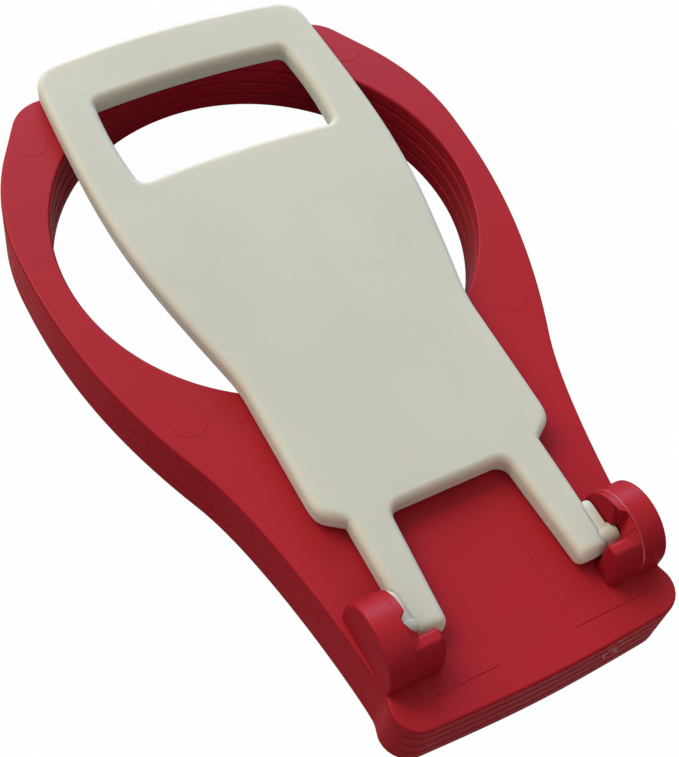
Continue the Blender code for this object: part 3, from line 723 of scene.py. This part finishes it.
def web_island(inner, outer):
    """The web: from the nose's outer corner down to the front jaw, above the pin."""
    nose_top = math.acos(-NOSE_LEAD / JAW_RADIUS)
    crest, lean = crest_lean()
    rim = arc((0, 0), JAW_RADIUS, nose_top, lean, CLIP_STEPS // 2)
    low = PIN_RADIUS + PIN_BORE_GAP
    island = side_prism([Vector((-NOSE_LEAD, low))] + rim + [Vector((crest.x, low))], inner, outer, 0, 0)
    slice_off(island, (CLIP_SEAM, -NOSE_LEAD, 0), (NOSE_LEAD - JAW_FACE, CLIP_SEAM - inner, 0), 0)
    for vert in island.verts:
        if vert.co.z > low + MERGE and vert.co.x < CLIP_SEAM - MERGE:
            share = min((-NOSE_LEAD - vert.co.y) / (JAW_FACE - NOSE_LEAD), 1)
            vert.co.z = min(vert.co.z, rim[0].y + (RAMP_FOOT - rim[0].y) * share)
    island.normal_update()
    top = [edge for edge in island.edges if edge.calc_face_angle(0) > SMOOTH_ANGLE
           and all(low + MERGE < vert.co.z and inner + MERGE < vert.co.x < CLIP_SEAM for vert in edge.verts)]
    print("web: top edges", len(top))
    soften(island, top, RAMP_EDGE, 3)
    return island


# %% [markdown]
# Each clip is cut in its own insert of the mould, and the insert's outline stays on the plate as a
# rectangle round the clip. A low slab with a bevelled rim gives that step. The left clip is the
# right one mirrored: the scale turns it inside out, so its normals are recalculated afterwards.
# Only the right drum's mould line takes a lighter, glossier red, a painted highlight for the light it catches, so the
# left one keeps the plain red finish.

# %% Build both clips
handle_low, handle_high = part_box("handle")
PIN_END = 22.1 * MM
ARM_OUTER = 19.5 * MM
PAD_PROUD = 1.3 * MM
CLIP_END_WALL = 4.9 * MM
JAW_COVER = 2.8 * MM
CLIP_SEAM = PIN_END + RUNNING_GAP
NOSE_INNER = ARM_OUTER + PAD_PROUD + RUNNING_GAP
JAW_INNER = ARM_OUTER - JAW_COVER
INSERT_NEAR, INSERT_FAR = -11.1 * MM, 11.9 * MM
INSERT_INNER, INSERT_OUTER = 7.6 * MM, 22.4 * MM
INSERT_RELIEF = 0.12 * MM


def insert_island():
    """The slab inside the mould insert's outline, seen from the hinge axis."""
    island = bmesh.new()
    size = Vector((INSERT_OUTER - INSERT_INNER, INSERT_FAR - INSERT_NEAR, 2 * INSERT_RELIEF))
    centre = Vector(((INSERT_OUTER + INSERT_INNER) / 2, (INSERT_FAR + INSERT_NEAR) / 2, -HINGE_HEIGHT))
    bmesh.ops.create_cube(island, size=1.0)
    bmesh.ops.scale(island, verts=island.verts, vec=size)
    soften(island, rims(island, (0, 0, 1)), INSERT_RELIEF, 2)
    bmesh.ops.translate(island, verts=island.verts, vec=centre)
    return island


def clip_bmesh():
    """The right clip with its insert mark."""
    bm = bmesh.new()
    root = CLIP_SEAM + ROOT_DEPTH
    add_island(bm, side_prism(end_wall_profile(CLIP_RADIUS), CLIP_SEAM, CLIP_SEAM + CLIP_END_WALL, 0, CLIP_EDGE))
    add_island(bm, side_prism(front_jaw_profile(), JAW_INNER, root, JAW_ROUND, 0))
    nose = side_prism(rear_jaw_profile(), NOSE_INNER, root, 0, 0)
    add_island(bm, slice_off(nose, (CLIP_SEAM, -NOSE_LEAD, 0), (-NOSE_CUT, NOSE_INNER - CLIP_SEAM, 0), NOSE_EDGE))
    add_island(bm, web_island(CLIP_SEAM - RAMP_WIDTH, CLIP_SEAM + LINE_WIDTH / 2))
    add_island(bm, side_prism(end_wall_profile(JAW_RADIUS), CLIP_SEAM - LINE_WIDTH / 2 - MERGE * 20, CLIP_SEAM, 0, 0))
    add_island(bm, insert_island())
    return bm


def mould_line_bmesh():
    """The line round the drum's inner rim, where the two halves of the mould meet."""
    bm = bmesh.new()
    half = LINE_WIDTH / 2
    add_island(bm, side_prism(end_wall_profile(CLIP_RADIUS + LINE_RELIEF), CLIP_SEAM - half, CLIP_SEAM + half,
                              LINE_EDGE, LINE_EDGE))
    return bm


def on_side(bm, side):
    """Mirrors a right-hand shape for the left, and moves it to the hinge axis."""
    bmesh.ops.scale(bm, verts=bm.verts, vec=(side, 1, 1))
    bmesh.ops.translate(bm, verts=bm.verts, vec=(0, PIVOT_Y, HINGE_Z))
    return bm


# The right mould line takes the finish with the painted highlight, and the left one takes plain red.
for side, name, line_finish in ((1, "right_clip", mould_line), (-1, "left_clip", red_plastic)):
    add_piece(name, on_side(clip_bmesh(), side), red_plastic, "top")
    add_piece(name + "_mould_line", on_side(mould_line_bmesh(), side), line_finish, "top")

# %% [markdown]
# ## The handle
# The handle is one flat moulding: a fork whose arms reach to the pins, a straight neck, a grip
# that swells and ends in a shallow arch, and a finger slot. It is drawn like a plate, as a half
# outline that runs up the outside and back down round the slot.

# %% Draw the handle's right half
HANDLE_THICKNESS = handle_high.z - handle_low.z
HANDLE_EDGE = 1.4 * MM
SLOT_EDGE = 1.6 * MM
UNDER_EDGE = 0.8 * MM
HANDLE_REACH = handle_high.y - PIVOT_Y
HANDLE_ARCH = 1.6 * MM
HANDLE_HALF_WIDTH = handle_high.x
HANDLE_FAR_HALF_WIDTH = 30.0 * MM
HANDLE_CORNER = 5.2 * MM
NECK_HALF_WIDTH = 23.9 * MM
NECK_BEND = 3.0 * MM
NECK_FLARE = math.radians(12)
NECK_REACH_SHARE = 0.383
NECK_CURVE_SHARE = 0.45
WIDEST_REACH_SHARE = 0.75
WIDEST_CURVE_SHARE = 0.35
FORK_ROOT = 20.2 * MM
FORK_CORNER = 2.5 * MM
ARM_TIP_WIDTH = 6.2 * MM
ARM_ROOT_WIDTH = 7.6 * MM
ARM_REACH = 2.55 * MM
TIP_INNER_ROUND = 1.6 * MM
TIP_OUTER_ROUND = 1.5 * MM
SHOULDER_RISE = 0.7 * MM
SHOULDER_HEIGHT = 6.3 * MM


def handle_side():
    """The handle's right side, from the middle of the fork's root to the middle of the far end."""
    root = Vector((ARM_OUTER - ARM_ROOT_WIDTH, FORK_ROOT))
    tip_inner = Vector((ARM_OUTER - ARM_TIP_WIDTH, -ARM_REACH))
    tip_outer = Vector((ARM_OUTER, -ARM_REACH))
    shoulder_inner = Vector((ARM_OUTER, FORK_ROOT + SHOULDER_RISE))
    shoulder = Vector((NECK_HALF_WIDTH, shoulder_inner.y + SHOULDER_HEIGHT))
    neck = Vector((NECK_HALF_WIDTH, HANDLE_REACH * NECK_REACH_SHARE))
    flare = Vector((math.sin(NECK_FLARE), math.cos(NECK_FLARE)))
    bend_start = neck - Vector((0, NECK_BEND))
    bend_end = neck + flare * NECK_BEND
    widest = Vector((HANDLE_HALF_WIDTH, HANDLE_REACH * WIDEST_REACH_SHARE))
    apex = Vector((0, HANDLE_REACH))
    arch_end = Vector((HANDLE_FAR_HALF_WIDTH - HANDLE_CORNER, HANDLE_REACH - HANDLE_ARCH))
    corner_end = Vector((HANDLE_FAR_HALF_WIDTH, arch_end.y - HANDLE_CORNER))
    step = NECK_HALF_WIDTH - ARM_OUTER
    swell = widest.y - bend_end.y
    bulge = widest - corner_end
    arch_slope = Vector((arch_end.x, -2 * HANDLE_ARCH)) / 3
    corner_curve = HANDLE_CORNER * CIRCLE_CURVE_SHARE
    side_slope = Vector((bulge.x, bulge.y / 2)).normalized()
    side = [Vector((0, FORK_ROOT))]
    side += fillet((0, FORK_ROOT), root, tip_inner, FORK_CORNER)
    side += fillet(root, tip_inner, tip_outer, TIP_INNER_ROUND)
    side += fillet(tip_inner, tip_outer, shoulder_inner, TIP_OUTER_ROUND)
    side += curve(shoulder_inner, (step * CIRCLE_CURVE_SHARE, step / 2), (0, -step), shoulder, CORNER_STEPS)
    side += curve(bend_start, (0, NECK_BEND / 2), -flare * NECK_BEND / 2, bend_end, CORNER_STEPS)
    side += curve(bend_end, flare * swell * NECK_CURVE_SHARE, (0, -swell * WIDEST_CURVE_SHARE), widest)
    side += curve(widest, (0, -bulge.y / 3), side_slope * corner_curve, corner_end, CORNER_STEPS)
    side += curve(corner_end, -side_slope * corner_curve, arch_slope.normalized() * corner_curve, arch_end,
                  CORNER_STEPS)
    return side + curve(arch_end, -arch_slope, (arch_end.x / 3, 0), apex)


# %% [markdown]
# The slot is a rounded rectangle whose long sides follow the arch of the grip. Its half path
# starts in the middle of the far side and comes back along the near side.

# %% Draw the finger slot's right half
GRIP_BAR = 13.8 * MM
GRIP_RAIL = 9.6 * MM
SLOT_WIDTH = 22.9 * MM
SLOT_ARCH = 0.9 * MM
SLOT_SIDE_BOW = 0.5 * MM
SLOT_CORNER = 1.8 * MM


def bowed(start, end, bow):
    """A line that bulges to its left."""
    outward = Vector((start.y - end.y, end.x - start.x)).normalized()
    shares = [step / CURVE_STEPS for step in range(CURVE_STEPS + 1)]
    return [start.lerp(end, share) + outward * bow * (1 - (2 * share - 1) ** 2) for share in shares]


def half_slot():
    """The slot's right half, from the middle of its far side to the middle of its near side."""
    far = HANDLE_REACH - GRIP_BAR
    near = far - SLOT_WIDTH
    half_length = HANDLE_HALF_WIDTH - GRIP_RAIL
    far_corner, near_corner = Vector((half_length, far)), Vector((half_length, near))
    far_round = fillet((0, far), far_corner, near_corner, SLOT_CORNER)
    near_round = fillet(far_corner, near_corner, (0, near), SLOT_CORNER)
    far_left = Vector((-far_round[0].x, far))
    near_left = Vector((-near_round[-1].x, near))
    far_line = [point for point in bowed(far_left, far_round[0], SLOT_ARCH) if point.x > -MERGE]
    near_line = [point for point in bowed(near_round[-1], near_left, -SLOT_ARCH) if point.x > -MERGE]
    return far_line + far_round + bowed(far_round[-1], near_round[0], SLOT_SIDE_BOW) + near_round + near_line


print("half outline of the handle:", len(handle_side()) + len(half_slot()), "points")

# %% [markdown]
# The upper rims are generously round, most of all in the slot, where the fingers pull. The arms
# end in a full round about the hinge axis, so that they can turn over the plate. The
# planes below slice the arms ahead of the axis, and each slice is then drawn in towards the
# middle of the thickness, by as much as a circle asks for.

# %% Build the handle
TIP_SLICES = 9
TIP_POWER = 2.6


def round_arm_tips(bm):
    """Turns the square arm ends into rounds about the hinge axis."""
    for step in range(TIP_SLICES):
        slice_y = -ARM_REACH * math.sin(math.pi / 2 * (step + 0.5) / TIP_SLICES)
        bmesh.ops.bisect_plane(bm, geom=bm.verts[:] + bm.edges[:] + bm.faces[:], dist=MERGE,
                               plane_co=(0, slice_y, 0), plane_no=(0, 1, 0))
    for vert in bm.verts:
        if vert.co.y < 0:
            along = min(-vert.co.y / ARM_REACH, 1)
            vert.co.z *= (1 - along ** TIP_POWER) ** (1 / TIP_POWER)


def handle_rims(bm, low, in_slot):
    """The lower or upper rims of the handle, round its outside or round the slot."""
    near = HANDLE_REACH - GRIP_BAR - SLOT_WIDTH - SLOT_ARCH - MERGE
    far = HANDLE_REACH - GRIP_BAR + SLOT_ARCH + MERGE
    side = HANDLE_HALF_WIDTH - GRIP_RAIL + SLOT_SIDE_BOW + MERGE
    chosen = []
    for edge in rims(bm, (0, 0, 1)):
        point = middle(edge)
        inside = near < point.y < far and abs(point.x) < side
        if inside == in_slot and (point.z < HANDLE_THICKNESS / 2) == low:
            chosen.append(edge)
    return chosen


handle = bmesh.new()
half_sheet(handle, handle_side() + half_slot())
mirror_sheet(handle)
push(handle, handle.faces[:], (0, 0, HANDLE_THICKNESS))
for low, in_slot, radius in ((False, False, HANDLE_EDGE), (False, True, SLOT_EDGE), (True, False, UNDER_EDGE),
                             (True, True, UNDER_EDGE)):
    soften(handle, handle_rims(handle, low, in_slot), radius, 6)
bmesh.ops.translate(handle, verts=handle.verts, vec=(0, 0, -HANDLE_THICKNESS / 2))
round_arm_tips(handle)
bmesh.ops.translate(handle, verts=handle.verts, vec=(0, PIVOT_Y, HINGE_Z))
add_piece("handle_moulding", handle, cream_plastic, "handle", ["handle"])

# %% [markdown]
# ## The trunnions
# On the outside of each arm lies a flat pad with round ends, and the pin stands out of it on the
# hinge axis. A pad is a stretched circle: the half beyond the axis is simply moved back along the
# arm, which leaves a bar with round ends.

# %% Build the pads and pins
PAD_STEP = 0.18 * MM
PAD_REACH = 2.45 * MM
PAD_LENGTH = 7.3 * MM
PAD_EDGE = 0.40 * MM
PIN_EDGE = 0.5 * MM


def across_disc(radius, start, end, edge, stretch=0, reach=None):
    """A disc about the hinge axis, from one distance across to another, stretched back and ahead along the arm."""
    island = bmesh.new()
    bmesh.ops.create_circle(island, cap_ends=True, segments=64, radius=radius,
                            matrix=Matrix.Rotation(math.pi / 2, 4, 'Y'))
    bmesh.ops.translate(island, verts=[v for v in island.verts if v.co.y > MERGE], vec=(0, stretch, 0))
    if reach:
        bmesh.ops.scale(island, verts=[v for v in island.verts if v.co.y < -MERGE], vec=(1, reach / radius, 1))
    bmesh.ops.translate(island, verts=island.verts, vec=(start, 0, 0))
    push(island, island.faces[:], (end - start, 0, 0))
    soften(island, [e for e in rims(island, (1, 0, 0)) if middle(e).x > (start + end) / 2], edge, 4)
    return island


for side, name in ((1, "right_trunnion"), (-1, "left_trunnion")):
    trunnion = bmesh.new()
    pad_height = HANDLE_THICKNESS / 2 - PAD_STEP
    root = ARM_OUTER - ROOT_DEPTH
    add_island(trunnion, across_disc(pad_height, root, ARM_OUTER + PAD_PROUD, PAD_EDGE, PAD_LENGTH - pad_height,
                                     PAD_REACH))
    add_island(trunnion, across_disc(PIN_RADIUS, root, PIN_END, PIN_EDGE))
    bmesh.ops.scale(trunnion, verts=trunnion.verts, vec=(side, 1, 1))
    bmesh.ops.translate(trunnion, verts=trunnion.verts, vec=(0, PIVOT_Y, HINGE_Z))
    add_piece(name, trunnion, trunnion_cream, "handle")

# %% [markdown]
# ## The pivot cap
# The cap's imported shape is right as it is: a flange under the stack, and a split plug whose barb
# snaps over the spigot's lip. It only takes the red finish in place of its plain one.

# %% Give the cap its finish
cap = frame["nodes"]["pivot_cap"]
cap.data.materials.clear()
cap.data.materials.append(red_plastic)

# %% [markdown]
# ## Floor, light and camera
# The carrier lies on a plain pale floor. Daylight comes from a large soft source above and behind
# it, so that upper faces are bright and the walls towards the viewer are about half as bright.
# The floor is close to white for the camera and for reflections, and keeps the soft shadow.

# %% The floor
FLOOR_SIZE = 4000 * MM
FLOOR_WHITE = (0.45, 0.45, 0.46, 1.0)
FLOOR_SHOWN = (1.0, 1.0, 1.0, 1.0)
FLOOR_LIFT = 0.985

floor_finish = Finish(bpy.data.materials.new("pale_floor"))
rays = floor_finish.node("ShaderNodeLightPath", {}, {})
seen = sum(Value(floor_finish, rays.outputs[ray]) for ray in ("Is Camera Ray", "Is Glossy Ray", "Is Transmission Ray"))
glow = floor_finish.node("ShaderNodeEmission", {}, {"Color": FLOOR_SHOWN, "Strength": 1.0})
mix = floor_finish.node("ShaderNodeMixShader", {}, {0: seen * FLOOR_LIFT, 1: floor_finish.shader.outputs[0],
                                                    2: glow.outputs[0]})
floor_finish.feed(floor_finish.tree.nodes["Material Output"].inputs["Surface"], mix.outputs[0])
floor_finish.shader.inputs["Base Color"].default_value = FLOOR_WHITE
floor_finish.shader.inputs["Roughness"].default_value = 0.9

floor_bmesh = bmesh.new()
bmesh.ops.create_grid(floor_bmesh, x_segments=1, y_segments=1, size=FLOOR_SIZE / 2)
floor_mesh = bpy.data.meshes.new("floor")
floor_bmesh.to_mesh(floor_mesh)
floor_bmesh.free()
floor_mesh.materials.append(floor_finish.material)
floor = bpy.data.objects.new("floor", floor_mesh)
bpy.context.scene.collection.objects.link(floor)

# %% [markdown]
# An area lamp is described by what it does to the plate: a power that gives a known share of the
# light on an upper face. At a share of one in all, a colour renders about as it is written. The
# sky is a little brighter behind the carrier than in front of it, as a room is on its window side.

# %% The lamps and the sky
SKY_SHARE = 0.36
SKY_SLOPE = 0.6
SKY_WAY = (-0.30, 0.95, 0.0)
SKY_COLOUR = (1.0, 0.99, 0.96, 1.0)


def add_lamp(name, place, size, share, colour):
    """A square area lamp that looks at the origin and gives an upper face there a share of its light."""
    lamp = bpy.data.lights.new(name, 'AREA')
    lamp.size = size
    lamp.color = colour
    place = Vector(place)
    lamp.energy = share * math.pi ** 2 * place.length ** 3 / place.z
    item = bpy.data.objects.new(name, lamp)
    item.location = place
    item.rotation_euler = place.to_track_quat('Z', 'Y').to_euler()
    bpy.context.scene.collection.objects.link(item)
    print(f"{name}: {lamp.energy:.1f} W")


add_lamp("window_light", (1000 * MM, 2450 * MM, 1450 * MM), 1800 * MM, 0.32, (0.44, 0.69, 1.0))
add_lamp("ceiling_light", (-1000 * MM, 1900 * MM, 2000 * MM), 1800 * MM, 0.46, (1.0, 0.90, 0.72))
add_lamp("room_light", (-400 * MM, -1900 * MM, 1500 * MM), 1800 * MM, 0.11, (1.0, 0.90, 0.84))

world = bpy.data.worlds.new("sky")
bpy.context.scene.world = world
sky = Finish(world, "Background")
way = sky.node("ShaderNodeTexCoord", {}, {}).outputs["Generated"]
lean = sky.node("ShaderNodeVectorMath", {"operation": 'DOT_PRODUCT'}, {0: way, 1: SKY_WAY}).outputs["Value"]
sky.feed(sky.shader.inputs["Strength"], (Value(sky, lean) * SKY_SLOPE + 1) * SKY_SHARE)
sky.shader.inputs["Color"].default_value = SKY_COLOUR

# %% [markdown]
# The camera stands over the front left corner and looks down at the carrier, a little rolled. Its
# place, its aim on the top plate and its lens were worked out from the outlines of the cup hole,
# the ring and the handle in a 679 by 757 picture.

# %% The camera
CAMERA_PLACE = Vector((-93.97, -122.67, 226.76)) * MM
CAMERA_AIM = Vector((-5.36, -12.06, 13.70)) * MM
CAMERA_ROLL = math.radians(12.316)
CAMERA_LENS = 66.54
SENSOR = 36.0

camera = bpy.data.cameras.new("camera")
camera.sensor_fit = 'AUTO'
camera.sensor_width = SENSOR
camera.lens = CAMERA_LENS
camera.clip_start = 10 * MM
camera_item = bpy.data.objects.new("camera", camera)
camera_item.location = CAMERA_PLACE
turn = (CAMERA_AIM - CAMERA_PLACE).to_track_quat('-Z', 'Y').to_matrix()
camera_item.rotation_euler = (turn @ Matrix.Rotation(CAMERA_ROLL, 3, 'Z')).to_euler()
bpy.context.scene.collection.objects.link(camera_item)
bpy.context.scene.camera = camera_item
bpy.context.scene.view_settings.view_transform = 'Standard'
